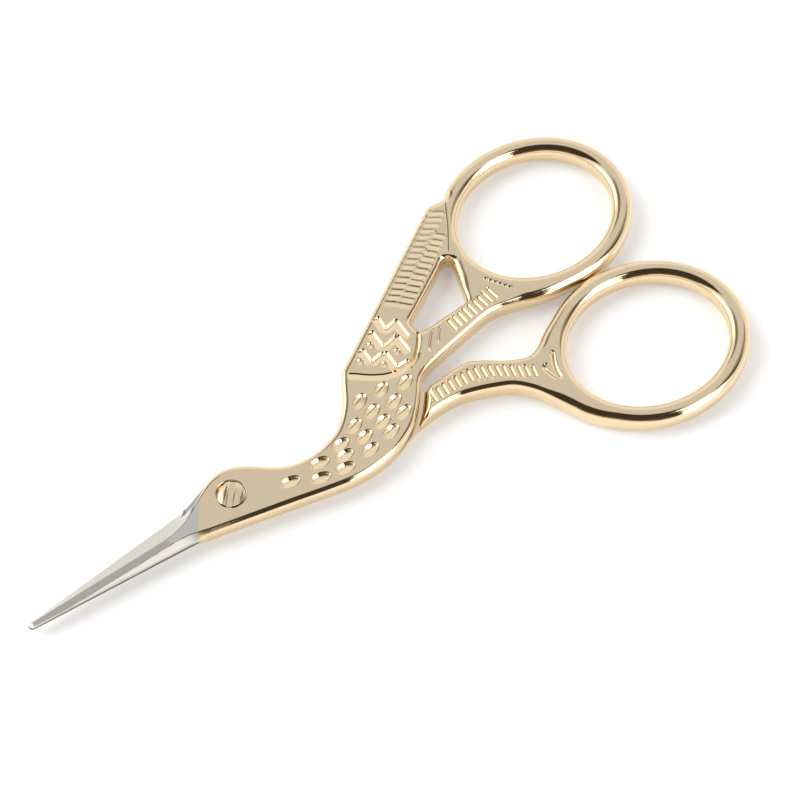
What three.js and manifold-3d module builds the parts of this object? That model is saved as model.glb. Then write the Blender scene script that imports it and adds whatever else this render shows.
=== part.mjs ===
// Stork embroidery scissors, gold plated, modelled closed and lying flat.
// Millimetres, +Z up. The origin lies on the pivot axis, in the plane that the scissors rest on.
// -X runs to the blade tips, +X to the finger rings, and +Y to the ring of the stork half.
import * as THREE from 'three';
import { mergeVertices } from 'three/addons/utils/BufferGeometryUtils.js';
import Module from 'manifold-3d';

const wasm = await Module();
wasm.setup();

const degrees = Math.PI / 180;

// Forged halves
const thickness = 3.0;
const lapGap = 0.1;
const seatGap = 0.45;
const edgeRound = 0.6;

// Finger rings
const ringHoleLength = 20.9;
const ringHoleWidth = 17.5;
const ringWall = 2.5;
const ringGap = 0.6;
const ringMeetingY = -2.7;
const upperRingX = 53.75;
const lowerRingX = 52.85;
const lowerRingTilt = -8 * degrees;

// Where each leg and the tail run into their ring, as turns round the ring
const legTurn = -100 * degrees;
const tailTurn = 122 * degrees;
const shinTurn = -135 * degrees;
const calfTurn = 126 * degrees;

// Laps: the x of the ends of the leg half's shoulder and of the stork's seat on the leg half
const lapStart = 17.5;
const lapEnd = 26.5;
const seatStart = 19.0;
const seatEnd = 27.5;

// Opening between the wing and the front leg
const openingRound = 0.8;

// Blades, along and across their own axis: reaches count from the pivot, runs from the heel
const bladeLength = 27.7;
const bladeAxisTurn = -3.37 * degrees;
const bladeAxisOffset = -0.63;
const heelReach = 5.4;
const heelEdgeWidth = 2.46;
const heelSpineWidth = 1.86;
const heelSlant = 1.6;
const taperRun = 3.7;
const taperPower = 1.6;
const throatRun = 2.6;
const notchRun = 1.0;
const notchWidth = 1.73;
const rootRun = 2.0;
const rootEdgeWidth = 1.9;
const rootSpineWidth = 1.9;
const tipHalfWidth = 0.42;
const tipRound = 0.8;
const tipBluntness = 0.3;
const tipHeight = 0.2;
const edgeHeight = 0.1;
const spineDraft = 0.25;
const grindDepth = 0.06;

// Ridge between the two facets of a blade, across the blade axis, from the tip to the root
const ridgeAtTip = 0.16;
const ridgeAtTaper = -0.1;
const ridgeAtThroat = 0.16;
const ridgeAtHeel = 0.42;
const ridgeAtNotch = 0.75;
const ridgeAtRoot = 1.75;

// Pivot screw
const headDiameter = 3.42;
const headSeatDepth = 0.75;
const headRim = 0.5;
const headDome = 0.4;
const headClearance = 0.09;
const slotWidth = 0.5;
const slotDepth = 0.55;
const slotTurn = 45 * degrees;
const shankDiameter = 2.3;
const shankShoulder = 0.15;
const screwGap = 0.05;

// Oval feather dimples, and the bars, lattice and ribs scored into the wing and the legs
const dimpleLength = 2.3;
const dimpleWidth = 1.35;
const dimpleDepth = 0.3;
const barLength = 1.6;
const barWidth = 0.4;
const barDepth = 0.14;
const latticeWidth = 0.7;
const latticeDepth = 0.28;
const ribLength = 1.8;
const ribWidth = 0.45;
const ribDepth = 0.2;
const scoreLift = 0.02;

// Cove between the breast and the wing
const coveWidth = 0.9;
const coveDepth = 0.16;

// Fineness of the facets
const curveStep = 0.9;
const ringStep = 1.1;
const roundSteps = 3;
const cornerSteps = 4;
const domeSteps = 5;
const boreSides = 32;
const dimpleSides = 12;
const dimpleRows = 8;
const coveSides = 8;
const coveSteps = 16;
const tipShares = [0, 1 / 8, 4 / 9];
const taperShares = [0, 1 / 8, 2 / 7, 4 / 9, 3 / 5, 4 / 5, 1];
const weld = 1e-4;
const shortestEdge = 0.02;

const lapPlane = thickness / 2;
const storkFace = lapPlane + lapGap / 2;
const legFace = lapPlane - lapGap / 2;
const threadDiameter = shankDiameter - 2 * shankShoulder;
const beyond = 2 * bladeLength;

// Solids and meshes
function solidOf(geometry) {
  const bare = geometry.clone();
  bare.deleteAttribute('normal');
  bare.deleteAttribute('uv');
  const merged = mergeVertices(bare, weld);
  return new wasm.Manifold(new wasm.Mesh({
    numProp: 3,
    vertProperties: new Float32Array(merged.attributes.position.array),
    triVerts: new Uint32Array(merged.index.array),
  }));
}

function meshOf(solid, name, material) {
  const result = solid.getMesh();
  const geometry = new THREE.BufferGeometry();
  geometry.setAttribute('position', new THREE.BufferAttribute(new Float32Array(result.vertProperties), 3));
  geometry.setIndex(new THREE.BufferAttribute(new Uint32Array(result.triVerts), 1));
  geometry.computeVertexNormals();
  const mesh = new THREE.Mesh(geometry, material);
  mesh.name = name;
  return mesh;
}

// Plane curves
const points2 = (pairs) => pairs.map(([x, y]) => new THREE.Vector2(x, y));
const near = (point, x, y) => [point.x + x, point.y + y];
const between = (start, end, share) => start + (end - start) * share;
const spaced = (curve, step) => curve.getSpacedPoints(Math.ceil(curve.getLength() / step));
const along = (pairs) => spaced(new THREE.SplineCurve(points2(pairs)), curveStep);

function chain(...runs) {
  const joined = [];
  for (const point of runs.flat()) {
    const last = joined.at(-1);
    if (!last || last.distanceTo(point) > shortestEdge) {
      joined.push(point);
    }
  }
  if (joined[0].distanceTo(joined.at(-1)) < shortestEdge) {
    joined.pop();
  }
  return joined;
}

function offsetRun(run, distance) {
  return run.map((point, index) => {
    const before = run[Math.max(index - 1, 0)];
    const after = run[Math.min(index + 1, run.length - 1)];
    const direction = after.clone().sub(before).normalize();
    return new THREE.Vector2(point.x + direction.y * distance, point.y - direction.x * distance);
  });
}

function roundedPolygon(corners, radius) {
  const run = [];
  corners.forEach((corner, index) => {
    const before = corners.at(index - 1);
    const after = corners[(index + 1) % corners.length];
    const inward = before.clone().sub(corner).normalize();
    const outward = after.clone().sub(corner).normalize();
    const setback = radius / Math.tan(Math.acos(inward.dot(outward)) / 2);
    const start = inward.multiplyScalar(setback).add(corner);
    const end = outward.multiplyScalar(setback).add(corner);
    run.push(...new THREE.QuadraticBezierCurve(start, corner, end).getPoints(cornerSteps));
  });
  return run;
}

// A forged plate: an outline with holes, its edges rounded on both faces
function forging(outline, holes) {
  const shape = new THREE.Shape(outline);
  shape.holes = holes.map((hole) => new THREE.Path(hole));
  const geometry = new THREE.ExtrudeGeometry(shape, {
    depth: thickness - 2 * edgeRound,
    bevelThickness: edgeRound,
    bevelSize: edgeRound,
    bevelOffset: -edgeRound,
    bevelSegments: roundSteps,
  });
  return solidOf(geometry.translate(0, 0, edgeRound));
}

function prism(outline, bottom, top) {
  const shape = new THREE.Shape(outline);
  const geometry = new THREE.ExtrudeGeometry(shape, { depth: top - bottom, bevelEnabled: false });
  return solidOf(geometry.translate(0, 0, bottom));
}

function bore(diameter, bottom, top) {
  const geometry = new THREE.CylinderGeometry(diameter / 2, diameter / 2, top - bottom, boreSides);
  return solidOf(geometry.rotateX(Math.PI / 2).translate(0, 0, (bottom + top) / 2));
}

// Finger rings, set on either side of the line where they meet
function fingerRing(centreX, tilt, side) {
  const long = ringHoleLength / 2 + ringWall;
  const wide = ringHoleWidth / 2 + ringWall;
  const reach = Math.hypot(long * Math.sin(tilt), wide * Math.cos(tilt));
  const centreY = ringMeetingY + side * (ringGap / 2 + reach);
  const ellipse = (halfLong, halfWide, from, to) => new THREE.EllipseCurve(
    centreX, centreY, halfLong, halfWide, from, to, false, tilt,
  );
  return {
    nearEnd: new THREE.Vector2(centreX - long, centreY),
    outside: (from, to) => spaced(ellipse(long, wide, from, to), ringStep),
    hole: spaced(ellipse(ringHoleLength / 2, ringHoleWidth / 2, 0, 2 * Math.PI), ringStep).slice(0, -1),
  };
}

// One blade in its own frame: the inner face lies in z = 0, the tip at -X and the cutting edge at +Y
function bladeSection(reach) {
  const fromTip = bladeLength - reach;
  const share = fromTip / (bladeLength - heelReach);
  const tipShare = Math.min(fromTip / tipRound, 1);
  const roundedTip = tipBluntness + (1 - tipBluntness) * Math.sqrt(1 - (1 - tipShare) ** 2);
  const edgeWidth = between(tipHalfWidth, heelEdgeWidth, share) * roundedTip;
  const spineWidth = between(tipHalfWidth, heelSpineWidth, share) * roundedTip;
  const taper = Math.min(fromTip / (bladeLength - heelReach - taperRun), 1) ** taperPower;
  const fullHeight = legFace - grindDepth;
  return {
    reach,
    edge: [reach, edgeWidth],
    ridge: between(ridgeAtTip, ridgeAtTaper, taper),
    spine: spineWidth,
    height: between(tipHeight, fullHeight, taper),
  };
}

function bladeSections() {
  const slender = bladeLength - heelReach - taperRun - tipRound;
  const tipStations = tipShares.map((share) => bladeLength - tipRound * share);
  const taperStations = taperShares.map((share) => bladeLength - tipRound - slender * share);
  const throat = { ...bladeSection(heelReach + throatRun), ridge: ridgeAtThroat };
  const heel = {
    ...bladeSection(heelReach + heelSlant),
    edge: [heelReach, heelEdgeWidth],
    ridge: ridgeAtHeel,
  };
  const notch = {
    ...bladeSection(heelReach + notchRun),
    edge: [heelReach + notchRun, notchWidth],
    ridge: ridgeAtNotch,
  };
  const root = {
    ...bladeSection(heelReach - rootRun),
    edge: [heelReach - rootRun, rootEdgeWidth],
    ridge: ridgeAtRoot,
    spine: rootSpineWidth,
  };
  return [...tipStations, ...taperStations].map(bladeSection).concat(throat, heel, notch, root);
}

function blade() {
  const rings = bladeSections().map(({ reach, edge, ridge, spine, height }) => [
    [-edge[0], edge[1], 0],
    [-edge[0], edge[1], edgeHeight],
    [-reach, ridge, height],
    [-reach, -spine + spineDraft * height, height],
    [-reach, -spine, 0],
  ]);
  const sides = rings[0].length;
  const index = [];
  for (let row = 0; row + 1 < rings.length; row += 1) {
    for (let side = 0; side < sides; side += 1) {
      const a = row * sides + side;
      const b = row * sides + ((side + 1) % sides);
      index.push(a, b, a + sides, b, b + sides, a + sides);
    }
  }
  const last = (rings.length - 1) * sides;
  for (let side = 1; side + 1 < sides; side += 1) {
    index.push(0, side + 1, side);
    index.push(last, last + side, last + side + 1);
  }
  const geometry = new THREE.BufferGeometry();
  geometry.setAttribute('position', new THREE.Float32BufferAttribute(rings.flat(2), 3));
  geometry.setIndex(index);
  return geometry;
}

function placedBlade(face, turn) {
  const geometry = blade().rotateX(turn).translate(0, 0, face);
  return solidOf(geometry.rotateZ(bladeAxisTurn).translate(0, bladeAxisOffset, 0));
}

const upperRing = fingerRing(upperRingX, 0, 1);
const lowerRing = fingerRing(lowerRingX, lowerRingTilt, -1);

// A leg's edge: shares of the way from its hip to its ring, and rises off the straight line between them
const legEdge = ([hipX, hipY], join, pairs) => pairs.map(([share, rise]) => [
  between(hipX, join.x, share), between(hipY, join.y, share) + rise,
]);

// Outline of the stork half, counter-clockwise: ring, tail, wing, back, beak root, breast, leg
const storkArc = upperRing.outside(legTurn, tailTurn);
const legJoin = storkArc[0];
const tailJoin = storkArc.at(-1);
const tail = along([
  near(tailJoin, 0, 0), near(tailJoin, -0.5, -0.5), near(tailJoin, -1.2, -0.65),
  near(tailJoin, -2.2, -0.5), near(tailJoin, -3.2, -0.55), near(tailJoin, -4.1, -0.95),
]);
const back = along([
  [20.6, 5.4], [19.4, 3.8], [18.0, 1.8], [16.0, -0.1], [14.0, -1.1], [11.0, -1.55], [8.1, -1.05],
  [6.2, 0.1], [4.2, 1.85], [2.4, 3.05], [0.6, 3.45], [-1.1, 3.15], [-2.6, 2.45], [-4.2, 1.6],
  [-5.6, 0.9], [-6.8, 0.1],
]);
const breast = along([
  [-6.8, -1.85], [-5.0, -2.6], [0.0, -4.0], [5.0, -5.4], [10.0, -6.85], [13.0, -7.55], [16.0, -7.78],
  [19.0, -7.45], [22.3, -6.2], [24.4, -4.75], [26.2, -3.0], [27.4, -1.65], ...legEdge([28.6, -0.95], legJoin, [
    [0, 0], [0.105, 0.68], [0.28, 1.51], [0.432, 2.14], [0.542, 2.29], [0.664, 1.63], [0.751, 0.91],
    [0.852, 0.36], [1, 0],
  ]),
]);
const storkOutline = chain(storkArc, tail, back, breast);

// The opening lies between the wing and the front leg, and its wide end follows the ring
const wingOpening = roundedPolygon(points2([
  [31.5, 3.8], near(upperRing.nearEnd, -1.8, -5.05), near(upperRing.nearEnd, 1.0, 2.15), [31.5, 5.75],
]), openingRound);

// Outline of the leg half, counter-clockwise: ring, back of the leg, hidden neck, beak root, neck, shin
const legArc = lowerRing.outside(shinTurn, calfTurn);
const shinJoin = legArc[0];
const calfJoin = legArc.at(-1);
const shoulder = along([[14.6, 0.9], [18.5, -0.2], [22.5, -0.7], [26.2, -1.6], [29.5, -2.6]]);
const lapShoulder = offsetRun(shoulder, seatGap).filter(({ x }) => x > lapStart && x < lapEnd).reverse();
const calf = along([
  ...legEdge([28.8, -2.8], calfJoin, [
    [1, 0], [0.831, -1.54], [0.724, -2.79], [0.634, -3.37], [0.568, -3.1], [0.472, -2.18], [0.36, -0.74],
    [0.27, 0.13], [0.152, 0.26], [0, 0],
  ]),
  [27.5, -2.6],
]);
const nape = along([
  [16.4, -0.75], [14.0, -1.4], [11.0, -1.75], [8.2, -1.25], [6.2, -0.1], [4.2, 1.65], [2.4, 2.85],
  [0.6, 3.45], [-1.2, 3.45], [-2.6, 3.1], [-4.2, 2.6], [-5.6, 2.35], [-6.8, 2.15],
]);
const shin = along([
  [-6.8, -2.5], [-5.0, -2.85], [-2.5, -3.3], [0.0, -3.8], [5.0, -5.0], [10.0, -6.4], [13.0, -7.25],
  [16.0, -7.65], [19.0, -7.6], [21.6, -7.0], [23.6, -6.35], [25.6, -6.05], ...legEdge([28.0, -6.1], shinJoin, [
    [0, 0], [0.136, 1.71], [0.273, 2.99], [0.409, 4.04], [0.531, 4.75], [0.627, 4.46], [0.685, 3.72],
    [0.729, 2.87], [0.77, 1.88], [0.817, 0.88], [0.892, 0.19], [1, 0],
  ]),
]);
const legOutline = chain(legArc, calf, lapShoulder, nape, shin);

// Milled laps: each half keeps its full thickness only beyond its own shoulder
function storkLap() {
  const first = shoulder[0];
  const last = shoulder.at(-1);
  const rest = points2([
    [last.x, -beyond], [-beyond, -beyond], [-beyond, beyond], [first.x, beyond],
  ]);
  return prism([...shoulder, ...rest], -thickness, storkFace);
}

function legLap() {
  const step = offsetRun(breast.filter(({ x }) => x > seatStart && x < seatEnd), seatGap);
  const rest = points2([
    [step.at(-1).x, beyond], [-beyond, beyond], [-beyond, -beyond], [step[0].x, -beyond],
  ]);
  return prism([...step, ...rest], legFace, 2 * thickness);
}

// Feather dimples: place and turn of each oval
const dimples = [
  [6.5, -3.05, -12], [9.65, -4.85, -14], [10.75, -3.15, -8], [12.75, -5.6, -8], [13.7, -4.2, 0],
  [14.2, -2.75, 6], [16.6, -5.5, 8], [17.1, -3.65, 10], [17.1, -1.75, 18], [20.1, -5.05, 12],
  [20.1, -3.35, 12], [20.0, -1.5, 16], [19.7, 0.55, 24], [22.9, -3.9, 14], [22.9, -2.0, 16],
  [22.75, 0.2, 22], [25.65, -0.75, 18],
];

// The underside of the leg half is dimpled where it is as thick as the breast above it
const undersideEnd = 24;
const undersideTop = -2.7;
const undersideDimples = dimples.filter(([x, y]) => x < undersideEnd && y < undersideTop);

function dimple([x, y, turn], face) {
  const geometry = new THREE.SphereGeometry(1, dimpleSides, dimpleRows).rotateX(Math.PI / 2);
  geometry.scale(dimpleLength / 2, dimpleWidth / 2, dimpleDepth);
  return solidOf(geometry.rotateZ(turn * degrees).translate(x, y, face));
}

// Scored rows of V grooves: the run that a row follows, the number of grooves and their turns
const wingBars = [
  { run: [[31.0, 9.6], [44.3, 16.7]], count: 15, turns: [-44, -36], size: [barLength, barWidth, barDepth] },
  { run: [[32.2, 8.5], [43.4, 14.8]], count: 12, turns: [-50, -50], size: [barLength, barWidth, barDepth] },
];
const frontRibs = {
  run: [[31.9, 2.1], [42.0, 2.45]], count: 13, turns: [55, 92], size: [ribLength, ribWidth, ribDepth],
};
const backRibs = {
  run: [[27.1, -4.35], [30.9, -4.6], [33.6, -5.2], [36.2, -7.0], [38.9, -9.2]],
  count: 16,
  turns: [82, 70],
  size: [ribLength, ribWidth, ribDepth],
};

// Stepped lattice on the shoulder of the wing: the ends of each groove
const lattice = [
  [[24.35, 6.0], [24.2, 4.1]], [[24.2, 4.1], [26.0, 4.2]],
  [[26.4, 4.0], [26.15, 1.6]], [[26.15, 1.5], [27.8, 1.4]],
  [[26.85, 7.3], [26.6, 4.8]], [[26.6, 4.7], [28.7, 5.1]], [[28.95, 4.9], [28.8, 2.5]],
  [[28.7, 8.5], [28.4, 6.7]], [[28.4, 6.6], [30.2, 6.9]], [[30.2, 6.8], [30.0, 4.2]],
];

function score({ x, y }, turn, [length, width, depth], face) {
  const geometry = new THREE.OctahedronGeometry(1).scale(length / 2, width / 2, depth);
  return solidOf(geometry.rotateZ(turn).translate(x, y, face));
}

function scores({ run, count, turns, size }, face) {
  const places = new THREE.SplineCurve(points2(run));
  return Array.from({ length: count }, (_, index) => {
    const share = index / (count - 1);
    return score(places.getPointAt(share), between(turns[0], turns[1], share) * degrees, size, face);
  });
}

function latticeScores() {
  return lattice.map((ends) => {
    const [start, end] = points2(ends);
    const run = end.clone().sub(start);
    const middle = start.lerp(end, 1 / 2);
    return score(middle, run.angle(), [run.length(), latticeWidth, latticeDepth], thickness + scoreLift);
  });
}

function wingCove() {
  const route = new THREE.CatmullRomCurve3([
    [21.2, 4.1], [22.4, 2.75], [24.0, 1.4], [26.0, 0.85], [28.0, 0.9], [29.3, 1.5], [30.0, 2.4],
  ].map(([x, y]) => new THREE.Vector3(x, y, thickness)));
  const section = new THREE.Shape(
    new THREE.EllipseCurve(0, 0, coveDepth, coveWidth / 2).getPoints(coveSides).slice(0, -1),
  );
  return solidOf(new THREE.ExtrudeGeometry(section, { steps: coveSteps, extrudePath: route }));
}

// The sub-parts
const goldPlate = new THREE.MeshStandardMaterial({ color: '#d8c193', roughness: 0.18, metalness: 1 });
const screwGold = new THREE.MeshStandardMaterial({ color: '#d9bd86', roughness: 0.25, metalness: 1 });

function storkHalf() {
  const seat = thickness - headSeatDepth;
  let solid = forging(storkOutline, [upperRing.hole, wingOpening]);
  solid = solid.subtract(storkLap()).add(placedBlade(storkFace, 0));
  solid = solid.subtract(bore(shankDiameter + 2 * screwGap, -thickness, 2 * thickness));
  solid = solid.subtract(bore(headDiameter + 2 * headClearance, seat, 2 * thickness));
  const carving = [wingCove(), ...latticeScores(), ...dimples.map((place) => dimple(place, thickness))];
  for (const row of [...wingBars, frontRibs]) {
    carving.push(...scores(row, thickness + scoreLift), ...scores(row, -scoreLift));
  }
  for (const cut of carving) {
    solid = solid.subtract(cut);
  }
  return meshOf(solid, 'stork_half', goldPlate);
}

function legHalf() {
  let solid = forging(legOutline, [lowerRing.hole]);
  solid = solid.subtract(legLap()).add(placedBlade(legFace, Math.PI));
  solid = solid.subtract(bore(threadDiameter + 2 * screwGap, -thickness, 2 * thickness));
  const carving = undersideDimples.map((place) => dimple(place, 0));
  carving.push(...scores(backRibs, thickness + scoreLift), ...scores(backRibs, -scoreLift));
  for (const cut of carving) {
    solid = solid.subtract(cut);
  }
  return meshOf(solid, 'leg_half', goldPlate.clone());
}

function pivotScrew() {
  const seat = thickness - headSeatDepth + screwGap;
  const rim = seat + headRim;
  const headRadius = headDiameter / 2;
  const shoulderHeight = legFace + screwGap;
  const profile = points2([
    [0, 0], [threadDiameter / 2, 0], [threadDiameter / 2, shoulderHeight], [shankDiameter / 2, shoulderHeight],
    [shankDiameter / 2, seat], [headRadius, seat], [headRadius, rim],
  ]);
  for (let step = 1; step < domeSteps; step += 1) {
    const angle = (step / domeSteps) * (Math.PI / 2);
    profile.push(new THREE.Vector2(headRadius * Math.cos(angle), rim + headDome * Math.sin(angle)));
  }
  profile.push(new THREE.Vector2(0, rim + headDome));
  const body = solidOf(new THREE.LatheGeometry(profile, boreSides).rotateX(Math.PI / 2));
  const cutter = new THREE.BoxGeometry(2 * headDiameter, slotWidth, 2 * slotDepth);
  const slot = solidOf(cutter.rotateZ(slotTurn).translate(0, 0, rim + headDome));
  return meshOf(body.subtract(slot), 'pivot_screw', screwGold);
}

const scissors = new THREE.Group();
scissors.add(storkHalf(), legHalf(), pivotScrew());

export default scissors;
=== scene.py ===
"""Stork embroidery scissors: two forged, gold-plated halves with steel blades, and their pivot screw."""
import math

import bmesh
import bpy
import numpy as np
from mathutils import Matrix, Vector, kdtree
from mathutils.geometry import delaunay_2d_cdt


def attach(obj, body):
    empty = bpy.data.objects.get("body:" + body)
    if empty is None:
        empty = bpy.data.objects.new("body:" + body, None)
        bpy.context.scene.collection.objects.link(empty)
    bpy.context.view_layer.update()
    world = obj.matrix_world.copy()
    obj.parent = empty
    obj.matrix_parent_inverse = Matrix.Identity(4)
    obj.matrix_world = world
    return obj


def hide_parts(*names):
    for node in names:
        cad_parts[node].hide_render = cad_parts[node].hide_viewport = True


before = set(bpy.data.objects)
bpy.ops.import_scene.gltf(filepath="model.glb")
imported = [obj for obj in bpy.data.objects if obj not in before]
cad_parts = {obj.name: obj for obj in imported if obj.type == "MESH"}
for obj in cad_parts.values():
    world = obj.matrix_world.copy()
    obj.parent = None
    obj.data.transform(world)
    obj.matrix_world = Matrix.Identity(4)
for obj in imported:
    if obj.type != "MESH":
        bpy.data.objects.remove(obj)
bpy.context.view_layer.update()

MM = 0.001

# Forged halves, millimetres: each is worked out lying outer face up, its lap face turned down
THICKNESS = 3.0
LAP_FACE = 1.55
EDGE_ROUND = 0.75
RING_ROUND = 1.15
BEAK_ROUND = 0.25
BORE_ROUND = 0.12
CORNER_ROUND = 0.3
SEAT_GAP = 0.45
LEAST_STEP = 0.06
STEP_RAMP = 0.65
STEP_RIM = 0.9

# Stretches of X along which each half ends against the other
LAP_SPAN = (17.5, 26.5)
STEP_SPAN = (18.5, 27.6)

# Where the rounding of the edges changes: along +X behind the beak, along -Y towards the near edge, in
# sizes of a finger ring, and in millimetres from the top corner of the opening
BEAK_FADE = (-4.8, 1.5)
NEAR_EDGE_FADE = (0.5, 1.5)
RING_FADE = (1.0, 1.15)
CORNER_FADE = (0.6, 1.7)

# Finger rings: half sizes of the hole, centres and tilts, and the arcs between the joins, in degrees
RING_HOLE = (10.45, 8.75)
RING_WALL = 2.62
RING_OUTSIDE = (RING_HOLE[0] + RING_WALL, RING_HOLE[1] + RING_WALL)
UPPER_RING = ((54.0, 8.75), 0.0)
UPPER_ARC = (-100, 122)
LOWER_RING = ((52.97, -14.2), math.radians(-8))
LOWER_ARC = (-135, 126)

# The opening over the front leg
OPENING_ROUND = 0.8
OPENING_TOP = (41.8, 11.0)

# Blades, along and across their own axis: side 1 is the stork's, and -1 the leg's
BLADE_LENGTH = 27.7
BLADE_TURN = math.radians(3.37)
BLADE_OFFSET = -0.63
BLADE_SPAN = (-0.1, 1.2)
HEEL = 5.4
LEG_HEEL = 6.9
STORK_SPINE_END = 8.2
LEG_SPINE_END = 9.0
HEEL_EDGE = {1: 2.46, -1: 2.0}
HEEL_SPINE = 1.86
NOTCH = (6.4, 1.73)
TIP_HALF = {1: 0.42, -1: 0.47}
TIP_REACH = {1: 0.48, -1: 0.62}
TIP_SLOPE = 0.8
TIP_LIP = 0.1
TIP_SOFT = 0.08
TIP_HEIGHT = 0.48
FULL_HEIGHT = 1.42
TAPER_RUN = 3.7
TAPER_POWER = 1.3
EDGE_HEIGHT = 0.1
LEAST_HEIGHT = 0.05
LEAST_BEVEL = 0.1
SPINE_DRAFT = 0.8
SPINE_WALL = 0.62
FACET_ROUND = 0.05
BLADE_START = 4.4
BLADE_WHOLE = 6.6

# Pivot
HEAD_RADIUS = 1.71
HEAD_SEAT = 2.3
HEAD_TOP = 3.2
HEAD_FLAT = (0.7, 1.2)
HEAD_SLOPE = 0.36
HEAD_SOFT = 0.08
HEAD_CROWN = 0.139
CROWN_CENTRE = (-0.5, 0.0)
LIP_WIDTH = 0.15
LIP_DEPTH = 0.055
COUNTERBORE = 1.8
COUNTERBORE_FLOOR = 2.25
STORK_BORE = 1.2
LEG_BORE = 1.05
SHANK_RADIUS = 1.15
THREAD_RADIUS = 1.0
SHOULDER_HEIGHT = 1.5
SLOT_HALF = 0.33
SLOT_FLOOR = 2.86
SLOT_TURN = math.radians(45)

# Fineness of the meshes
OUTLINE_STEP = 0.22
GRID_STEP = 0.55
GRID_CLEARANCE = 0.45
BORE_STEP = 0.1
BORE_ROWS = (0.08, 0.3, 0.6, 1.0, 1.3)
SCREW_STEP = 0.12
SHANK_STEP = 0.15
ROUND_ROWS = 8
ROUND_END = 1.12
ROW_SHARE = 0.97
DETAIL_CLEARANCE = 0.05
HOLE_CLEARANCE = 0.005
STEP_CLEARANCE = 0.02
LEAST_SPACING = 0.03
SPLINE_SAMPLES = 24
ELLIPSE_SAMPLES = 400
CORNER_SAMPLES = 12
CHUNK = 2000
WELD = 2e-4
SHARP_ANGLE = math.radians(48)
FILL_TOLERANCE = 1e-7
SLIVER_AREA = 1e-6
TINY = 1e-12


# Plane curves

def even(run, step):
    """The same run of points at equal steps."""
    run = np.asarray(run, float)
    along = np.concatenate([[0.0], np.cumsum(np.linalg.norm(np.diff(run, axis=0), axis=1))])
    at = np.linspace(0.0, along[-1], max(2, math.ceil(along[-1] / step) + 1))
    return np.column_stack([np.interp(at, along, run[:, 0]), np.interp(at, along, run[:, 1])])


def spline(points, step=OUTLINE_STEP):
    """Points at equal steps along a uniform Catmull-Rom curve."""
    points = np.asarray(points, float)
    padded = np.vstack([points[:1], points, points[-1:]])
    share = np.linspace(0, 1, SPLINE_SAMPLES, endpoint=False)[:, None]
    runs = []
    for before, start, end, after in zip(padded, padded[1:], padded[2:], padded[3:]):
        leave = (end - before) / 2
        arrive = (after - start) / 2
        cubic = 2 * start - 2 * end + leave + arrive
        square = 3 * end - 3 * start - 2 * leave - arrive
        runs.append(cubic * share ** 3 + square * share ** 2 + leave * share + start)
    return even(np.vstack(runs + [points[-1:]]), step)


def turned(along, across, tilt):
    """Places given along and across a tilted axis."""
    return np.column_stack([
        along * math.cos(tilt) - across * math.sin(tilt),
        along * math.sin(tilt) + across * math.cos(tilt),
    ])


def turned_back(points, centre, tilt):
    """How far points lie along and across a tilted axis through a centre."""
    x, y = (points - np.asarray(centre)).T
    return x * math.cos(tilt) + y * math.sin(tilt), y * math.cos(tilt) - x * math.sin(tilt)


def ellipse(centre, radii, tilt=0.0, start=0.0, end=360.0, step=OUTLINE_STEP):
    """Points at equal steps along a turned ellipse, between two turns in degrees."""
    angle = np.radians(np.linspace(start, end, ELLIPSE_SAMPLES))
    return even(centre + turned(radii[0] * np.cos(angle), radii[1] * np.sin(angle), tilt), step)


def closed(*runs):
    """One closed loop through the runs, with straight lines between them."""
    joined = []
    for run, following in zip(runs, runs[1:] + runs[:1]):
        joined.append(run)
        joined.append(even([run[-1], following[0]], OUTLINE_STEP))
    loop = np.vstack(joined)
    apart = np.linalg.norm(loop - np.roll(loop, 1, axis=0), axis=1) > LEAST_SPACING
    return loop[apart]


def leg_edge(hip, join, pairs):
    """A leg's edge: shares of the way from its hip to its ring, and rises off the straight line."""
    hip = np.asarray(hip, float)
    return [tuple(hip + (np.asarray(join) - hip) * share + (0, rise)) for share, rise in pairs]


def rounded(corners, radius):
    """A closed polygon with rounded corners."""
    corners = np.asarray(corners, float)
    runs = []
    for before, corner, after in zip(np.roll(corners, 1, axis=0), corners, np.roll(corners, -1, axis=0)):
        inward = (before - corner) / np.linalg.norm(before - corner)
        outward = (after - corner) / np.linalg.norm(after - corner)
        setback = radius / math.tan(math.acos(inward @ outward) / 2)
        share = np.linspace(0, 1, CORNER_SAMPLES)[:, None]
        start = corner + inward * setback
        end = corner + outward * setback
        runs.append((1 - share) ** 2 * start + 2 * share * (1 - share) * corner + share ** 2 * end)
    return closed(*runs)


def inward_normals(loop):
    """Unit normals to the left of the loop's direction, which is where the metal lies."""
    ahead = np.roll(loop, -1, axis=0) - np.roll(loop, 1, axis=0)
    ahead /= np.linalg.norm(ahead, axis=1)[:, None]
    return np.column_stack([-ahead[:, 1], ahead[:, 0]])


def offset(run, distance):
    """An open run moved sideways, to the right of its direction."""
    ahead = np.gradient(run, axis=0)
    ahead /= np.linalg.norm(ahead, axis=1)[:, None]
    return run + np.column_stack([ahead[:, 1], -ahead[:, 0]]) * distance


def stretch(run, low, high):
    """The part of a run between two values of X."""
    return run[(run[:, 0] > low) & (run[:, 0] < high)]


def segment_distance(points, start, end):
    """Distances of points from one segment each, or all from the same one."""
    run = end - start
    square = np.maximum((run * run).sum(-1), TINY)
    share = np.clip(((points - start) * run).sum(-1) / square, 0, 1)
    return np.linalg.norm(points - start - share[..., None] * run, axis=-1)


def search_tree(points):
    """A tree that finds the nearest of the points."""
    tree = kdtree.KDTree(len(points))
    for index, (x, y) in enumerate(points):
        tree.insert((x, y, 0.0), index)
    tree.balance()
    return tree


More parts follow.
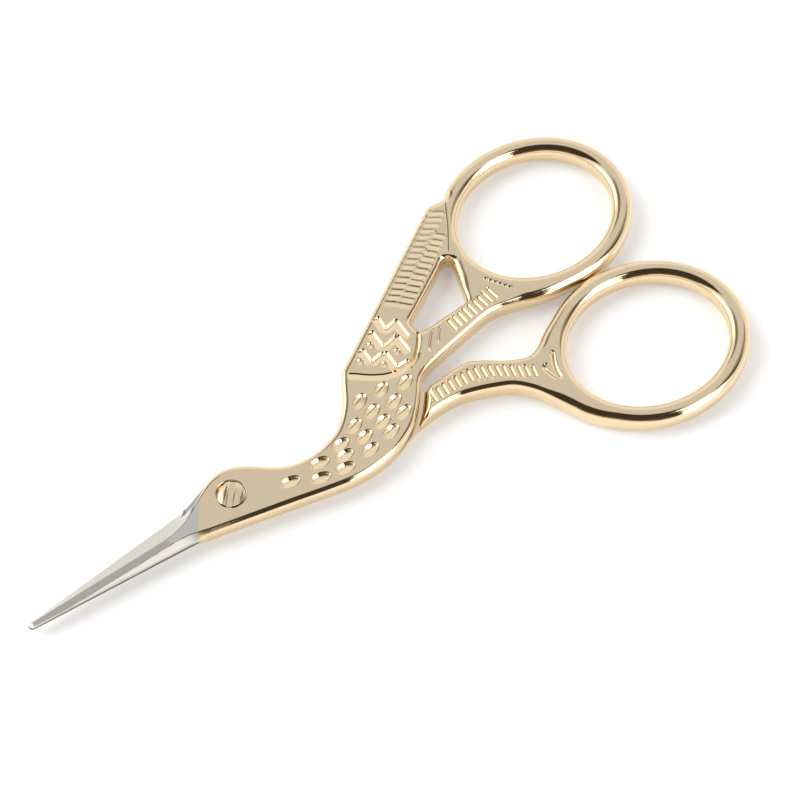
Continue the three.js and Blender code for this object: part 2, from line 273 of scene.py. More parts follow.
def edge_distance(points, loops):
    """Distances of points from the nearest of the closed loops."""
    rim = np.vstack(loops)
    before = np.vstack([np.roll(loop, 1, axis=0) for loop in loops])
    after = np.vstack([np.roll(loop, -1, axis=0) for loop in loops])
    tree = search_tree(rim)
    near = np.array([tree.find((x, y, 0.0))[1] for x, y in points])
    return np.minimum(
        segment_distance(points, before[near], rim[near]),
        segment_distance(points, rim[near], after[near]),
    )


def within(points, loops):
    """Which points lie inside an odd number of loops."""
    start = np.vstack(loops)
    end = np.vstack([np.roll(loop, -1, axis=0) for loop in loops])
    result = np.zeros(len(points), bool)
    for chunk in np.array_split(np.arange(len(points)), max(1, len(points) // CHUNK)):
        x = points[chunk, 0][:, None]
        y = points[chunk, 1][:, None]
        spans = (start[:, 1] > y) != (end[:, 1] > y)
        rise = np.where(end[:, 1] == start[:, 1], 1.0, end[:, 1] - start[:, 1])
        crossing = start[:, 0] + (y - start[:, 1]) * (end[:, 0] - start[:, 0]) / rise
        result[chunk] = (spans & (x < crossing)).sum(1) % 2 == 1
    return result


def apart_from(points, others, distance):
    """The points that keep a distance from all the others."""
    tree = search_tree(others)
    return points[[tree.find((x, y, 0.0))[2] > distance for x, y in points]]


def crossings(loop, run):
    """The loop with its two crossings with a run put in, their indices, and the run between them."""
    found = []
    ends = np.roll(loop, -1, axis=0)
    for index, (start, end) in enumerate(zip(loop, ends)):
        for step, (low, high) in enumerate(zip(run, run[1:])):
            matrix = np.column_stack([end - start, low - high])
            if abs(np.linalg.det(matrix)) < TINY:
                continue
            share, along = np.linalg.solve(matrix, low - start)
            if 0 <= share < 1 and 0 <= along < 1:
                found.append((index, step, start + share * (end - start)))
    (first, step_1, point_1), (second, step_2, point_2) = found[0], found[-1]
    cut = np.vstack([loop[:first + 1], point_1, loop[first + 1:second + 1], point_2, loop[second + 1:]])
    between = run[min(step_1, step_2) + 1:max(step_1, step_2) + 1]
    if step_1 > step_2:
        between = between[::-1]
    return cut, first + 1, second + 2, np.vstack([point_1, between, point_2])


# Meshes

class Shell:
    """Collects the points and faces of one piece."""

    def __init__(self):
        self.points = []
        self.faces = []
        self.count = 0

    def add(self, points, faces):
        """Takes in points, and faces that count them from 0."""
        self.points.append(points)
        self.faces.extend((np.asarray(faces) + self.count).tolist())
        self.count += len(points)

    def sheet(self, flat, faces, heights):
        """A face over flat points, at a height each."""
        self.add(np.column_stack([flat, heights]), faces)

    def wall(self, run, levels, loop=True):
        """A band along a run, through heights given from top to bottom as numbers or one per point."""
        count = len(run)
        rows = [np.column_stack([run, np.broadcast_to(level, count)]) for level in levels]
        last = count if loop else count - 1
        faces = []
        for row in range(len(levels) - 1):
            for index in range(last):
                a = row * count + index
                b = row * count + (index + 1) % count
                faces.append((a, a + count, b + count, b))
        self.add(np.vstack(rows), faces)

    def piece(self, name, flip=False):
        """The finished object, welded, smooth but for its sharp edges."""
        points = np.vstack(self.points)
        if flip:
            points = points * (1, 1, -1) + (0, 0, THICKNESS)
        mesh = bpy.data.meshes.new(name)
        mesh.from_pydata((points * MM).tolist(), [], self.faces)
        work = bmesh.new()
        work.from_mesh(mesh)
        bmesh.ops.remove_doubles(work, verts=work.verts, dist=WELD * MM)
        bmesh.ops.dissolve_degenerate(work, edges=work.edges, dist=WELD * MM)
        bmesh.ops.recalc_face_normals(work, faces=work.faces)
        work.to_mesh(mesh)
        work.free()
        mesh.polygons.foreach_set("use_smooth", [True] * len(mesh.polygons))
        mesh.set_sharp_from_angle(angle=SHARP_ANGLE)
        built = bpy.data.objects.new(name, mesh)
        bpy.context.scene.collection.objects.link(built)
        return built


def fill(loops, inside=()):
    """Triangles between the loops and through the points inside them: (points, faces)."""
    rim = np.vstack(loops)
    edges = []
    start = 0
    for loop in loops:
        count = len(loop)
        edges += [(start + index, start + (index + 1) % count) for index in range(count)]
        start += count
    places = np.vstack([rim, inside]) if len(inside) else rim
    found = delaunay_2d_cdt([Vector(place) for place in places], edges, [], 0, FILL_TOLERANCE)
    _, _, triangles, origins, _, _ = found
    source = np.array([min(origin) for origin in origins])
    points = places[source]
    faces = np.array(triangles)
    on_rim = source < len(rim)
    doubtful = on_rim[faces].all(axis=1)
    keep = ~doubtful
    keep[doubtful] = within(points[faces[doubtful]].mean(axis=1), loops)
    first, second, third = points[faces].transpose(1, 0, 2)
    area = np.abs(np.cross(second - first, third - first)) / 2
    keep &= ~(doubtful & (area < SLIVER_AREA))
    return points, faces[keep]


# Carving: each mark gives the points that its shape needs, and adds its height to the face

def smooth_step(value, low, high):
    """0 below one value and 1 above another, with an eased rise between them."""
    share = np.clip((value - low) / (high - low), 0, 1)
    return share * share * (3 - 2 * share)


class Hollow:
    """An oval cut with a tool held aslant: a gentle slope on one side, a steep wall on the other."""
    ROWS = (0.25, 0.5, 0.7, 0.84, 0.93, 0.98, 1.03, 1.12)
    DEEPEST = 0.5
    BED = 0.15
    BED_SOFT = 0.2
    BED_REACH = 0.95
    STEP = 0.15

    def __init__(self, centre, radii, depth, turn):
        self.centre = np.asarray(centre, float)
        self.radii = radii
        self.depth = depth
        self.turn = math.radians(turn)

    def points(self):
        """Ovals round the centre, and lines along the deepest part."""
        length, width = self.radii
        rows = []
        for share in self.ROWS:
            rows.append(ellipse(self.centre, (length * share, width * share), self.turn, step=self.STEP)[:-1])
        count = math.ceil(2 * self.BED_REACH * length / self.STEP)
        along = np.linspace(-self.BED_REACH, self.BED_REACH, count)
        for share in (self.DEEPEST - self.BED, self.DEEPEST, self.DEEPEST + self.BED):
            across = share * np.sqrt(1 - along ** 2)
            rows.append(self.centre + turned(along * length, across * width, self.turn))
        return np.vstack(rows)

    def heights(self, points):
        """Height of the cut at each point, 0 outside it."""
        along, across = turned_back(points, self.centre, self.turn)
        half = np.sqrt(np.clip(1 - (along / self.radii[0]) ** 2, 0, 1))
        place = across / self.radii[1] / np.maximum(half, TINY)
        gentle = (place + 1) / (1 + self.DEEPEST)
        steep = (1 - place) / (1 - self.DEEPEST)
        depth = np.clip(softer_min(gentle, steep, self.BED_SOFT), 0, None)
        return -self.depth * depth * np.sqrt(half)


class Cut:
    """A chisel cut along a run: a steep wall on its left, a gentle slope on its right."""
    SLOPE_ROWS = (1.05, 0.97, 0.75, 0.45, 0.2, 0.07, 0.0)
    WALL_ROWS = (0.35, 0.7, 1.0, 1.4)
    STEP = 0.16
    END = 0.22

    def __init__(self, run, depth, slope, wall, end=END):
        self.run = even(run, self.STEP) if len(run) == 2 else spline(run, self.STEP)
        self.depth = depth
        self.slope = slope
        self.wall = wall
        self.end = end

    def points(self):
        """Rows along the slope and the wall, with steep ends."""
        first = self.run[1] - self.run[0]
        last = self.run[-1] - self.run[-2]
        first *= self.end / 2 / np.linalg.norm(first)
        last *= self.end / 2 / np.linalg.norm(last)
        run = np.vstack([
            self.run[0] - first, self.run[0] + first,
            self.run[1:-1],
            self.run[-1] - last, self.run[-1] + last,
        ])
        rows = [offset(run, row * self.slope) for row in self.SLOPE_ROWS]
        rows += [offset(run, -row * self.wall) for row in self.WALL_ROWS]
        return np.vstack(rows)

    def heights(self, points):
        """Height of the cut at each point, 0 outside it."""
        reach = max(self.slope, self.wall) + self.end
        low = self.run.min(axis=0) - reach
        high = self.run.max(axis=0) + reach
        close = np.flatnonzero(((points >= low) & (points <= high)).all(axis=1))
        result = np.zeros(len(points))
        if not len(close):
            return result
        near = points[close]
        gap = np.array([segment_distance(near, a, b) for a, b in zip(self.run, self.run[1:])])
        piece = gap.argmin(axis=0)
        ahead = np.diff(self.run, axis=0)
        length = np.linalg.norm(ahead, axis=1)
        ahead = (ahead / length[:, None])[piece]
        away = near - self.run[piece]
        left = ahead[:, 0] * away[:, 1] - ahead[:, 1] * away[:, 0]
        along = (ahead * away).sum(axis=1) + (np.cumsum(length) - length)[piece]
        end = smooth_step(np.minimum(along, length.sum() - along), -self.end / 2, self.end / 2)
        depth = np.where(left < 0, 1 + left / self.slope, 1 - left / self.wall)
        result[close] = -self.depth * np.clip(depth, 0, None) * end
        return result


def carved(points, marks):
    """Height of the carving: the deepest of the cuts at each point."""
    deepest = np.zeros(len(points))
    for mark in marks:
        deepest = np.minimum(deepest, mark.heights(points))
    return deepest


def softer_min(first, second, soft):
    """The lower of two heights, rounded over where they cross."""
    mix = np.clip(0.5 + (second - first) / (2 * soft), 0, 1)
    return second * (1 - mix) + first * mix - soft * mix * (1 - mix)


# Blades: reach counts from the pivot towards the tip, and width towards the cutting edge

RIDGE_STEP = 0.1
RIDGE = spline([
    (3.0, 2.2), (4.0, 1.75), (5.0, 1.33), (6.0, 0.88), (7.0, 0.42), (8.0, 0.16), (9.5, -0.02),
    (12.0, -0.02), (15.7, 0.04), (20.0, 0.12), (BLADE_LENGTH + 1, 0.14),
], RIDGE_STEP)

# Rows of a blade's mesh: steps beside its ridge and shoulder, and shares of the way across its facets
RIDGE_ROWS = (-0.14, -0.09, -0.05, -0.02, 0.02, 0.05, 0.09, 0.14)
SHOULDER_ROWS = (-0.06, -0.03, 0.0, 0.03, 0.07)
BEVEL_ROWS = (0.3, 0.55, 0.8)
FLAT_ROWS = (0.35, 0.65)
SPINE_ROWS = (0.3, 0.6)
BLADE_STEP = 0.25
ROOT_RUN = 1.6
TIP_RUN = (0.3, 0.4)
TIP_COUNT = 11
TIP_TURN = 0.1
TIP_POINTS = 9


def blade_place(reach, width, side):
    """Places out of the frame of one side's blade."""
    reach = np.asarray(reach, float)
    width = np.asarray(width, float) * side
    return np.column_stack([
        width * math.sin(BLADE_TURN) - reach * math.cos(BLADE_TURN),
        width * math.cos(BLADE_TURN) + reach * math.sin(BLADE_TURN) + BLADE_OFFSET,
    ])


def blade_frame(points, side):
    """Reaches and widths of points in the frame of one side's blade."""
    x = points[:, 0]
    y = points[:, 1] - BLADE_OFFSET
    reach = y * math.sin(BLADE_TURN) - x * math.cos(BLADE_TURN)
    width = side * (x * math.sin(BLADE_TURN) + y * math.cos(BLADE_TURN))
    return reach, width


def blade_share(reach):
    """1 at the heel and 0 at the tip, and a little beyond both."""
    return np.clip((BLADE_LENGTH - reach) / (BLADE_LENGTH - HEEL), *BLADE_SPAN)


def edge_width(reach, side):
    """Where the cutting edge lies."""
    return TIP_HALF[side] + (HEEL_EDGE[side] - TIP_HALF[side]) * blade_share(reach)


def spine_width(reach, side):
    """How far the spine lies on the other side of the axis."""
    return TIP_HALF[side] + (HEEL_SPINE - TIP_HALF[side]) * blade_share(reach)


def blade_thickness(reach, side):
    """Height of the flat facet over the lap face, down to the facet that ends the tip."""
    share = np.clip((BLADE_LENGTH - reach) / (BLADE_LENGTH - HEEL - TAPER_RUN), 0, 1)
    taper = TIP_HEIGHT + (FULL_HEIGHT - TIP_HEIGHT) * share ** TAPER_POWER
    end = TIP_LIP + np.clip(BLADE_LENGTH + TIP_REACH[side] - reach, 0, None) * TIP_SLOPE
    return softer_min(taper, end, TIP_SOFT)


def ridge_width(reach):
    """Where the flat facet meets the bevel."""
    return np.interp(reach, RIDGE[:, 0], RIDGE[:, 1])


def blade_height(points, side, spine_edge):
    """Height of a blade's outer face: a flat facet, a bevel down to the edge, and a drafted spine."""
    reach, width = blade_frame(points, side)
    full = blade_thickness(reach, side)
    ridge = ridge_width(reach)
    bevel_run = np.maximum(edge_width(reach, side) - ridge, LEAST_BEVEL)
    bevel = full - (full - EDGE_HEIGHT) * (width - ridge) / bevel_run
    spine = (width - np.interp(reach, *spine_edge)) / SPINE_DRAFT + SPINE_WALL
    height = softer_min(softer_min(full, bevel, FACET_ROUND), spine, FACET_ROUND)
    return LAP_FACE + np.maximum(height, LEAST_HEIGHT)


def blade_points(side, spine_edge):
    """Rows of points along the ridge, the spine and the facets."""
    tip_start = BLADE_LENGTH - TIP_RUN[0]
    reach = np.concatenate([
        np.arange(HEEL - ROOT_RUN, tip_start, BLADE_STEP),
        np.linspace(tip_start, BLADE_LENGTH + TIP_RUN[1], TIP_COUNT),
    ])
    ridge = ridge_width(reach)
    edge = edge_width(reach, side)
    spine = np.interp(reach, *spine_edge)
    shoulder = spine + SPINE_DRAFT * np.maximum(blade_thickness(reach, side) - SPINE_WALL, 0.0)
    widths = [ridge + step for step in RIDGE_ROWS]
    widths += [shoulder + step for step in SHOULDER_ROWS]
    widths += [ridge + (edge - ridge) * share for share in BEVEL_ROWS]
    widths += [shoulder + (ridge - shoulder) * share for share in FLAT_ROWS]
    widths += [spine + (shoulder - spine) * share for share in SPINE_ROWS]
    return np.vstack([blade_place(reach, width, side) for width in widths])


def blade_outline(side, heel_reach, spine_reach):
    """Cutting edge from the heel to the blunt tip, and the spine back again."""
    edge_reach = np.arange(heel_reach, BLADE_LENGTH, OUTLINE_STEP)
    cut = blade_place(edge_reach, edge_width(edge_reach, side), side)
    turns = np.linspace(TIP_TURN, math.pi - TIP_TURN, TIP_POINTS)
    tip_reach = BLADE_LENGTH + TIP_REACH[side] * np.sin(turns)
    tip = blade_place(tip_reach, TIP_HALF[side] * np.cos(turns), side)
    spine_run = np.arange(BLADE_LENGTH, spine_reach, -OUTLINE_STEP)
    spine = blade_place(spine_run, -spine_width(spine_run, side), side)
    return np.vstack([cut, tip, spine])


def spine_edge_of(loop, side):
    """The spine's edge in the blade's frame, as reaches and widths, out of a half's outline."""
    reach, width = blade_frame(loop, side)
    on_spine = (width < 0) & (reach > 0) & (reach < BLADE_LENGTH)
    order = np.argsort(reach[on_spine])
    return reach[on_spine][order], width[on_spine][order]


# One forged half

def ring_share(points, ring):
    """1 on a finger ring, falling to 0 a little outside it."""
    centre, tilt = ring
    along, across = turned_back(points, centre, tilt)
    return 1 - smooth_step(np.hypot(along / RING_OUTSIDE[0], across / RING_OUTSIDE[1]), *RING_FADE)


def edge_radius(points):
    """How far an edge is rounded: little at the beak, most on the rings."""
    share = np.maximum(smooth_step(points[:, 0], *BEAK_FADE), smooth_step(-points[:, 1], *NEAR_EDGE_FADE))
    plain = BEAK_ROUND + (EDGE_ROUND - BEAK_ROUND) * share
    on_ring = np.maximum(ring_share(points, UPPER_RING), ring_share(points, LOWER_RING))
    radius = plain + (RING_ROUND - plain) * on_ring
    at_corner = 1 - smooth_step(np.linalg.norm(points - OPENING_TOP, axis=1), *CORNER_FADE)
    return radius + (CORNER_ROUND - radius) * at_corner


def plate_height(points, edges):
    """Height of a flat face whose edges are rounded over."""
    radius = edge_radius(points)
    short = np.clip(1 - edge_distance(points, edges) / radius, 0, 1)
    return THICKNESS - radius * (1 - np.sqrt(1 - short ** 2))


def face_points(loops, marks, extra):
    """Points for a face: rows along its rounded edges, those of its marks, and a loose grid."""
    turns = np.linspace(0, math.pi / 2, ROUND_ROWS + 1)[1:]
    rows = []
    for loop in loops:
        normals = inward_normals(loop)
        radius = edge_radius(loop)[:, None]
        for depth in [*(1 - np.cos(turns)), ROUND_END]:
            row = loop + normals * radius * depth
            clear = edge_distance(row, loops) > ROW_SHARE * (radius * depth)[:, 0]
            rows.append(row[clear & within(row, loops)])
    detail = np.vstack([mark.points() for mark in marks] + extra)
    detail = detail[within(detail, loops)]
    detail = detail[edge_distance(detail, loops) > LEAST_SPACING]
    edge_rows = apart_from(np.vstack(rows), detail, DETAIL_CLEARANCE)
    low = loops[0].min(axis=0)
    high = loops[0].max(axis=0)
    columns = np.arange(low[0], high[0], GRID_STEP)
    across, up = np.meshgrid(columns, np.arange(low[1], high[1], GRID_STEP))
    across = across + (np.arange(len(across)) % 2)[:, None] * GRID_STEP / 2
    grid = np.column_stack([across.ravel(), up.ravel()])
    grid = grid[within(grid, loops)]
    placed = np.vstack([edge_rows, detail])
    grid = apart_from(grid, np.vstack([placed, *loops]), GRID_STEP * GRID_CLEARANCE)
    return np.vstack([placed, grid])


def circle(radius, step=OUTLINE_STEP):
    """A hole round the pivot, running clockwise."""
    return ellipse((0, 0), (radius, radius), step=step)[:-1][::-1]


def forged_half(name, outline, holes, shoulder, outer_marks, inner_marks, side, bore, seat, flip):
    """One half: its outer face with the blade, its lap face, the full thickness beyond the shoulder."""
    shell = Shell()
    loop, first, second, step_run = crossings(outline, shoulder)
    edges = [loop, *holes]
    hole_radius, hole_floor = seat if seat else (bore, LAP_FACE)
    top_hole = circle(hole_radius, BORE_STEP)
    spine_edge = spine_edge_of(loop, side)

    def outer_height(points):
        plate = plate_height(points, edges)
        reach, _ = blade_frame(points, side)
        share = smooth_step(reach, BLADE_START, BLADE_WHOLE)
        height = plate + (blade_height(points, side, spine_edge) - plate) * share
        gap = np.clip(1 - (np.hypot(*points.T) - hole_radius) / BORE_ROUND, 0, 1)
        return height + carved(points, outer_marks) - BORE_ROUND * (1 - np.sqrt(1 - gap ** 2))

    bore_rows = [circle(hole_radius + BORE_ROUND * row, SCREW_STEP) for row in BORE_ROWS]
    inside = face_points(edges, outer_marks, [blade_points(side, spine_edge), *bore_rows])
    inside = inside[np.hypot(*inside.T) > hole_radius + HOLE_CLEARANCE]
    flat, faces = fill(edges + [top_hole], inside)
    shell.sheet(flat, faces, outer_height(flat))

    # Walls: the lapped part ends at the lap face, the rest at the rounded inner face
    rim_top = outer_height(loop)
    if loop[(first + second) // 2, 0] < shoulder[:, 0].min():
        lapped = np.arange(first, second + 1)
        whole = np.concatenate([np.arange(second, len(loop)), np.arange(0, first + 1)])
    else:
        lapped = np.concatenate([np.arange(second, len(loop)), np.arange(0, first + 1)])
        whole = np.arange(first, second + 1)
        step_run = step_run[::-1]

    def inner_height(points):
        height = THICKNESS - plate_height(points, edges) - carved(points, inner_marks)
        return np.minimum(height, LAP_FACE - LEAST_STEP)

    shell.wall(loop[lapped], (rim_top[lapped], LAP_FACE), loop=False)
    shell.wall(loop[whole], (rim_top[whole], LAP_FACE, inner_height(loop[whole])), loop=False)
    lap_loop = np.vstack([loop[lapped], step_run[::-1][1:-1]])
    flat, faces = fill([lap_loop, circle(bore, BORE_STEP)])
    shell.sheet(flat, faces, np.full(len(flat), LAP_FACE))
    full_loop = np.vstack([loop[whole], step_run[1:-1]])
    full_edges = [full_loop, *holes]
    inner_points = face_points(edges, inner_marks, [])
    inner_points = inner_points[within(inner_points, full_edges)]
    inner_points = inner_points[edge_distance(inner_points, full_edges) > STEP_CLEARANCE]
    flat, faces = fill(full_edges, inner_points)
    shell.sheet(flat, faces, inner_height(flat))
    step_points = np.vstack([loop[whole[-1]], step_run[1:-1], loop[whole[0]]])
    shell.wall(step_points, (LAP_FACE, inner_height(step_points)), loop=False)
    for hole in holes:
        shell.wall(hole, (outer_height(hole), LAP_FACE, inner_height(hole)))

    # The bore, and the seat of the screw's head
    shell.wall(top_hole, (outer_height(top_hole), hole_floor))
    if seat:
        bore_hole = circle(bore, BORE_STEP)
        flat, faces = fill([top_hole[::-1], bore_hole])
        shell.sheet(flat, faces, np.full(len(flat), hole_floor))
        shell.wall(bore_hole, (hole_floor, LAP_FACE))
    return shell.piece(name, flip)


# Outlines of the two halves, closed, counter-clockwise

stork_arc = ellipse(UPPER_RING[0], RING_OUTSIDE, UPPER_RING[1], *UPPER_ARC)
leg_join = stork_arc[0]
tail_join = stork_arc[-1]
tail = spline(tail_join + np.array([
    (0, 0), (-0.5, -0.5), (-1.2, -0.65), (-2.2, -0.5), (-3.2, -0.55), (-4.1, -0.95),
]))
back = spline([
    (20.6, 5.4), (19.4, 3.8), (18.0, 1.8), (16.0, -0.1), (14.0, -1.1), (11.0, -1.55), (8.1, -1.05),
    (6.2, 0.1), (4.2, 1.85), (2.4, 3.05), (0.6, 3.45), (-1.1, 3.15), (-2.6, 2.45), (-4.2, 1.65),
    (-5.2, 1.42),
    tuple(blade_place(NOTCH[0], NOTCH[1], 1)[0]),
])
stork_blade = blade_outline(1, HEEL, STORK_SPINE_END)
breast = spline([
    tuple(stork_blade[-1]), (-6.8, -2.06), (-5.0, -2.6), (0.0, -4.0), (5.0, -5.4), (10.0, -6.85),
    (13.0, -7.55), (16.0, -7.78), (19.0, -7.45), (22.3, -6.2), (24.4, -4.75), (26.2, -3.0), (27.4, -1.65),
] + leg_edge((28.6, -0.95), leg_join, [
    (0, 0), (0.105, 0.68), (0.28, 1.51), (0.432, 2.14), (0.542, 2.29), (0.664, 1.63), (0.751, 0.91),
    (0.852, 0.36), (1, 0),
]))
stork_outline = closed(stork_arc, tail, back, stork_blade, breast)
upper_hole = ellipse(UPPER_RING[0], RING_HOLE, UPPER_RING[1])[:-1][::-1]
opening = rounded([(31.5, 3.8), (39.0, 3.8), OPENING_TOP, (31.5, 5.75)], OPENING_ROUND)[::-1]
stork_shoulder = spline([(14.6, 0.9), (18.5, -0.2), (22.5, -0.7), (26.2, -1.6), (29.5, -2.6)])

leg_arc = ellipse(LOWER_RING[0], RING_OUTSIDE, LOWER_RING[1], *LOWER_ARC)
shin_join = leg_arc[0]
calf_join = leg_arc[-1]
calf = spline(leg_edge((28.8, -2.8), calf_join, [
    (1, 0), (0.831, -1.54), (0.724, -2.79), (0.634, -3.37), (0.568, -3.1), (0.472, -2.18), (0.36, -0.74),
    (0.27, 0.13), (0.152, 0.26), (0, 0),
]) + [(27.5, -2.6)])
lap_shoulder = stretch(offset(stork_shoulder, SEAT_GAP), *LAP_SPAN)[::-1]
leg_blade = blade_outline(-1, LEG_HEEL, LEG_SPINE_END)
nape = spline([
    (16.4, -0.75), (14.0, -1.4), (11.0, -1.75), (8.2, -1.25), (6.2, -0.1), (4.2, 1.65), (2.4, 2.85),
    (0.6, 3.45), (-1.2, 3.45), (-2.6, 3.1), (-4.2, 2.6), (-5.6, 2.25), (-7.2, 1.8), tuple(leg_blade[-1]),
])
shin = spline([
    tuple(leg_blade[0]), (-5.0, -2.42), (0.0, -3.72), (5.0, -5.17), (10.0, -6.6), (13.0, -7.36),
    (16.0, -7.66), (19.0, -7.42), (21.6, -6.66), (23.4, -6.25), (25.6, -6.05),
] + leg_edge((28.0, -6.1), shin_join, [
    (0, 0), (0.136, 1.71), (0.273, 2.99), (0.409, 4.04), (0.531, 4.75), (0.627, 4.46), (0.685, 3.72),
    (0.729, 2.87), (0.77, 1.88), (0.817, 0.88), (0.892, 0.19), (1, 0),
]))
leg_outline = closed(leg_arc, calf, lap_shoulder, nape, leg_blade[::-1], shin)
lower_hole = ellipse(LOWER_RING[0], RING_HOLE, LOWER_RING[1])[:-1][::-1]
leg_shoulder = offset(stretch(breast, *STEP_SPAN), SEAT_GAP)


# Carving of the halves: each tool cuts to one depth, with its own slope and wall

DIMPLE = {"radii": (1.2, 0.72), "depth": 0.36}
PEARL = {"radii": (0.5, 0.45), "depth": 0.22, "turn": 20}
COVE_WALL = 0.05
UPRIGHT = {"depth": 0.3, "slope": 0.85, "wall": 0.32}
LEVEL = {"depth": 0.3, "slope": 0.85, "wall": 0.25}
FEATHER = {"depth": 0.076, "slope": 0.66, "wall": 0.34, "end": 0.5}
FRONT_RIB = {"depth": 0.25, "slope": 0.4, "wall": 0.27, "end": 0.1}
BACK_RIB = {"depth": 0.26, "slope": 0.4, "wall": 0.28, "end": 0.1}
STROKE = {"depth": 0.12, "slope": 0.25, "wall": 0.12}
BEAD = {"depth": 0.14, "slope": 0.3, "wall": 0.12}
RING_LINE = {"depth": 0.05, "slope": 0.16, "wall": 0.1}
CLAW = {"depth": 0.26, "slope": 0.4, "wall": 0.28}
SPUR = {"depth": 0.18, "slope": 0.4, "wall": 0.15}
STEP_FOOT = {"depth": 1.45, "slope": STEP_RAMP, "wall": COVE_WALL}
STEP_TOP = {"depth": 0.75, "slope": STEP_RIM, "wall": COVE_WALL}
ROW_STEP = 0.05

# Middles of the dimples, and their turns in degrees
DIMPLES = [
    (6.5, -3.05, -12), (9.65, -4.85, -14), (10.75, -3.15, -8), (12.75, -5.6, -8), (13.7, -4.2, 0),
    (14.2, -2.75, 6), (16.6, -5.5, 8), (17.1, -3.65, 10), (17.1, -1.75, 18), (20.1, -5.05, 12),
    (20.1, -3.35, 12), (20.0, -1.5, 16), (19.7, 0.55, 24), (22.9, -3.9, 14), (22.9, -2.0, 16),
    (22.75, 0.2, 22), (25.65, -0.75, 18),
]
stork_marks = [Hollow((x, y), turn=turn, **DIMPLE) for x, y, turn in DIMPLES]

# The wing's border grows deeper and narrower towards the leg: runs, depths and slopes
COVES = [
    ([
        (21.0, 4.55), (21.8, 3.9), (22.6, 3.1), (23.6, 2.3), (24.8, 1.6), (26.2, 1.25), (27.6, 1.2),
    ], 0.16, 1.0),
    ([(25.4, 1.4), (26.2, 1.25), (27.6, 1.2), (28.6, 1.5), (29.3, 2.0)], 0.24, 0.75),
    ([(27.6, 1.2), (28.6, 1.5), (29.6, 2.3), (30.4, 3.1), (31.1, 4.0)], 0.34, 0.6),
]
stork_marks += [Cut(run, depth, slope, COVE_WALL) for run, depth, slope in COVES]

# The lattice on the wing, and the pearls in it
UPRIGHT_CUTS = [
    [(24.35, 6.1), (24.2, 4.1)], [(26.4, 4.1), (26.15, 1.6)], [(26.85, 7.4), (26.6, 4.8)],
    [(28.95, 5.0), (28.8, 2.5)], [(28.7, 8.6), (28.4, 6.7)], [(30.2, 6.9), (30.0, 4.2)],
]
LEVEL_CUTS = [
    [(24.2, 4.1), (26.0, 4.25)], [(26.15, 1.6), (27.8, 1.5)], [(26.6, 4.8), (28.8, 5.15)],
    [(28.4, 6.7), (30.2, 6.95)],
]
PEARLS = [(23.1, 4.9), (25.5, 6.0), (25.2, 2.8), (27.5, 3.3)]
stork_marks += [Cut(run, **UPRIGHT) for run in UPRIGHT_CUTS]
stork_marks += [Cut(run, **LEVEL) for run in LEVEL_CUTS]
stork_marks += [Hollow(place, **PEARL) for place in PEARLS]


def row_of_cuts(run, count, length, turns, tool):
    """Cuts of one tool at equal steps along a run, turning from the first to the last."""
    places = spline(run, ROW_STEP)
    cuts = []
    for share in np.linspace(0, 1, count):
        centre = places[round(share * (len(places) - 1))]
        turn = math.radians(turns[0] + (turns[1] - turns[0]) * share)
        reach = np.array([math.cos(turn), math.sin(turn)]) * length / 2
        cuts.append(Cut([centre - reach, centre + reach], **tool))
    return cuts


# Two rows of feathers on the tail, ribs and strokes on the front leg: these are on the underside too
both_faces = row_of_cuts([(31.3, 9.3), (44.2, 16.25)], 16, 1.9, (-44, -36), FEATHER)
both_faces += row_of_cuts([(32.5, 7.95), (42.2, 13.5)], 13, 2.0, (-50, -50), FEATHER)
both_faces += row_of_cuts([(35.2, 2.15), (42.0, 2.65)], 9, 1.8, (-92, -86), FRONT_RIB)
both_faces += [Cut(run, **STROKE) for run in ([(32.9, 3.1), (31.0, 1.2)], [(33.9, 2.8), (32.5, 1.3)])]
stork_marks += both_faces

# Beads where the front leg meets its ring, and a fine line between the tail and the ring
stork_marks += row_of_cuts([(42.7, 4.9), (44.3, 2.1)], 6, 0.4, (-20, -20), BEAD)
stork_marks.append(Cut([(41.6, 10.9), (43.9, 13.9), (46.2, 17.4)], **RING_LINE))

# Ribs of the back leg, the step down to its lap, and the claws
leg_marks = row_of_cuts([
    (27.1, -4.35), (30.9, -4.6), (33.6, -5.2), (36.2, -7.0), (38.9, -9.2),
], 16, 1.6, (-98, -108), BACK_RIB)
leg_marks += [
    Cut(leg_shoulder, **STEP_FOOT),
    Cut(leg_shoulder, **STEP_TOP),
    Cut([(42.4, -8.5), (41.4, -10.2), (41.0, -11.8)], **CLAW),
    Cut([(40.7, -9.4), (40.2, -9.8), (40.5, -11.6)], **SPUR),
]

stork_half = forged_half(
    "stork_forging", stork_outline, [upper_hole, opening], stork_shoulder, outer_marks=stork_marks,
    inner_marks=both_faces, side=1, bore=STORK_BORE, seat=(COUNTERBORE, COUNTERBORE_FLOOR), flip=False,
)
leg_half = forged_half(
    "leg_forging", leg_outline, [lower_hole], leg_shoulder, outer_marks=[],
    inner_marks=leg_marks, side=-1, bore=LEG_BORE, seat=None, flip=True,
)


# Pivot screw

HEAD_ROWS = (0.99, 0.96, 0.9, 0.8, 0.68, 0.54, 0.4, 0.2)
LIP_ROWS = (0.3, 0.65, 1.0, 1.3)
RIM_CLEARANCE = 0.015
RIM_POINTS = 60
SLOT_END_POINTS = 7


def dome(points):
    """Height of the head: a low crown off its centre, slanting on both sides, with eased slot lips."""
    crown = HEAD_CROWN * ((points - CROWN_CENTRE) ** 2).sum(axis=1) / HEAD_RADIUS ** 2
    across = points[:, 1]
    slant = sum(HEAD_SLOPE * (np.sqrt(past ** 2 + HEAD_SOFT ** 2) + past) / 2
                for past in (across - HEAD_FLAT[0], -across - HEAD_FLAT[1]))
    lip = LIP_DEPTH * np.clip(1 - (np.abs(across) - SLOT_HALF) / LIP_WIDTH, 0, 1)
    return HEAD_TOP - crown - slant - lip


